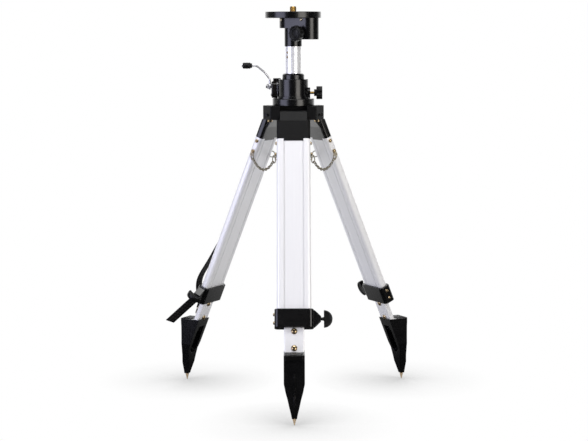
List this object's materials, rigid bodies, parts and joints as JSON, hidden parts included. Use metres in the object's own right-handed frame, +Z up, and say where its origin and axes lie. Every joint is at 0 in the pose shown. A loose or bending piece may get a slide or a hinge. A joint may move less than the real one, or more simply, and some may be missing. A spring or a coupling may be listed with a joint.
{
  "type": "elevating tripod",
  "caption": "Elevating surveying tripod: geared centre column with crank and round head plate on three telescopic legs with wing-knob clamps, chains and spiked foot shoes.",
  "frame": {"origin": "on the column's axis, on the ground between the three spike tips", "axes": "+Z up along the column, -Y towards the front leg, +X to the right of the front leg"},
  "size_m": [0.5897, 0.506, 0.9084],
  "materials": {
    "black_enamel": "semi-gloss black enamel on cast aluminium",
    "satin_aluminium": "satin anodised",
    "bright_aluminium": "polished",
    "brass_screws": "brass-tinted plating",
    "pale_screws": "pale plating",
    "steel": "bright steel",
    "chrome": "chrome plating",
    "knob_plastic": "moulded black",
    "cover_plastic": "brown-black moulding",
    "bush_plastic": "natural acetal",
    "spike_steel": "tan passivated steel",
    "webbing": "black woven webbing",
    "buckle_plastic": "moulded black"
  },
  "bodies": {
    "hub": {"spider": "black_enamel", "hub_housing": "black_enamel", "hub_collar": "black_enamel", "guide_bushes": "bush_plastic", "gearbox_housing": "black_enamel", "gearbox_cover": "cover_plastic", "gearbox_screws": "steel", "hinge_pins": "steel", "lobe_bolts": "steel", "lobe_nuts": "brass_screws", "leg_chains": "steel"},
    "column": {"column_tube": "bright_aluminium", "rack": "steel", "column_screws": "brass_screws", "column_foot": "bush_plastic", "head_casting": "black_enamel", "head_screws": "pale_screws", "head_plate": "black_enamel", "instrument_stud": "brass_screws"},
    "crank": {"pinion_shaft": "steel", "crank_arm": "chrome", "crank_nut": "chrome"},
    "crank_grip": {"crank_grip": "knob_plastic"},
    "column_lock": {"lock_screw": "brass_screws", "lock_knob": "knob_plastic"},
    "head_knob": {"head_knob": "knob_plastic"},
    "leg_front": {"leg_tube_front": "satin_aluminium", "leg_top_casting_front": "black_enamel", "leg_screws_front": "brass_screws", "leg_clamp_front": "black_enamel", "chain_rings_front": "steel"},
    "wing_front": {"wing_knob_front": "knob_plastic"},
    "slider_front": {"slider_front": "satin_aluminium", "shoe_front": "black_enamel", "shoe_bolts_front": "brass_screws", "spike_front": "spike_steel"},
    "leg_right": {"leg_tube_right": "satin_aluminium", "leg_top_casting_right": "black_enamel", "leg_screws_right": "brass_screws", "leg_clamp_right": "black_enamel", "chain_rings_right": "steel"},
    "wing_right": {"wing_knob_right": "knob_plastic"},
    "slider_right": {"slider_right": "satin_aluminium", "shoe_right": "black_enamel", "shoe_bolts_right": "brass_screws", "spike_right": "spike_steel"},
    "leg_left": {"leg_tube_left": "satin_aluminium", "leg_top_casting_left": "black_enamel", "leg_screws_left": "brass_screws", "leg_clamp_left": "black_enamel", "chain_rings_left": "steel", "strap_upper": "webbing", "strap_buckle": "buckle_plastic"},
    "wing_left": {"wing_knob_left": "knob_plastic"},
    "slider_left": {"slider_left": "satin_aluminium", "shoe_left": "black_enamel", "shoe_bolts_left": "brass_screws", "spike_left": "spike_steel", "strap_lower": "webbing", "strap_ring": "steel"}
  },
  "joints": [
    {"name": "column_lift", "type": "slide", "parent": "hub", "child": "column", "axis": [0, 0, 1], "range_m": [-0.034, 0.32]},
    {"name": "crank_turn", "type": "hinge", "parent": "hub", "child": "crank", "pos_m": [0, 0.02975, 0.72369], "axis": [-1, 0, 0], "range_deg": [-250, 2097]},
    {"name": "crank_grip_spin", "type": "hinge", "parent": "crank", "child": "crank_grip", "pos_m": [-0.11, 0.02975, 0.77219], "axis": [-1, 0, 0], "continuous": true},
    {"name": "column_lock_turn", "type": "hinge", "parent": "hub", "child": "column_lock", "pos_m": [0.055, 0, 0.70999], "axis": [1, 0, 0], "range_deg": [0, 360]},
    {"name": "head_knob_turn", "type": "hinge", "parent": "column", "child": "head_knob", "pos_m": [0.0069, -0.06271, 0.84679], "axis": [-0.6691, -0.7431, 0], "range_deg": [0, 360]},
    {"name": "leg_fold_front", "type": "hinge", "parent": "hub", "child": "leg_front", "pos_m": [0, -0.04, 0.66099], "axis": [1, 0, 0], "range_deg": [0, 23], "deforming": ["leg_chains"]},
    {"name": "leg_extend_front", "type": "slide", "parent": "leg_front", "child": "slider_front", "axis": [0, -0.3907, -0.9205], "range_m": [0, 0.36]},
    {"name": "wing_turn_front", "type": "hinge", "parent": "leg_front", "child": "wing_front", "pos_m": [0.07, -0.23603, 0.2222], "axis": [1, 0, 0], "range_deg": [0, 360]},
    {"name": "leg_fold_right", "type": "hinge", "parent": "hub", "child": "leg_right", "pos_m": [0.03464, 0.02, 0.66099], "axis": [-0.5, 0.866, 0], "range_deg": [0, 23], "deforming": ["leg_chains"]},
    {"name": "leg_extend_right", "type": "slide", "parent": "leg_right", "child": "slider_right", "axis": [0.3384, 0.1954, -0.9205], "range_m": [0, 0.36]},
    {"name": "wing_turn_right", "type": "hinge", "parent": "leg_right", "child": "wing_right", "pos_m": [0.16941, 0.17864, 0.2222], "axis": [-0.5, 0.866, 0], "range_deg": [0, 360]},
    {"name": "leg_fold_left", "type": "hinge", "parent": "hub", "child": "leg_left", "pos_m": [-0.03464, 0.02, 0.66099], "axis": [-0.5, -0.866, 0], "range_deg": [0, 23], "deforming": ["leg_chains"]},
    {"name": "leg_extend_left", "type": "slide", "parent": "leg_left", "child": "slider_left", "axis": [-0.3384, 0.1954, -0.9205], "range_m": [0, 0.36], "deforming": ["strap_lower"]},
    {"name": "wing_turn_left", "type": "hinge", "parent": "leg_left", "child": "wing_left", "pos_m": [-0.23941, 0.05739, 0.2222], "axis": [-0.5, -0.866, 0], "range_deg": [0, 360]}
  ],
  "couplings": [
    {"joint": "crank_turn", "follows": "column_lift", "rad_per_m": 114.29}
  ]
}
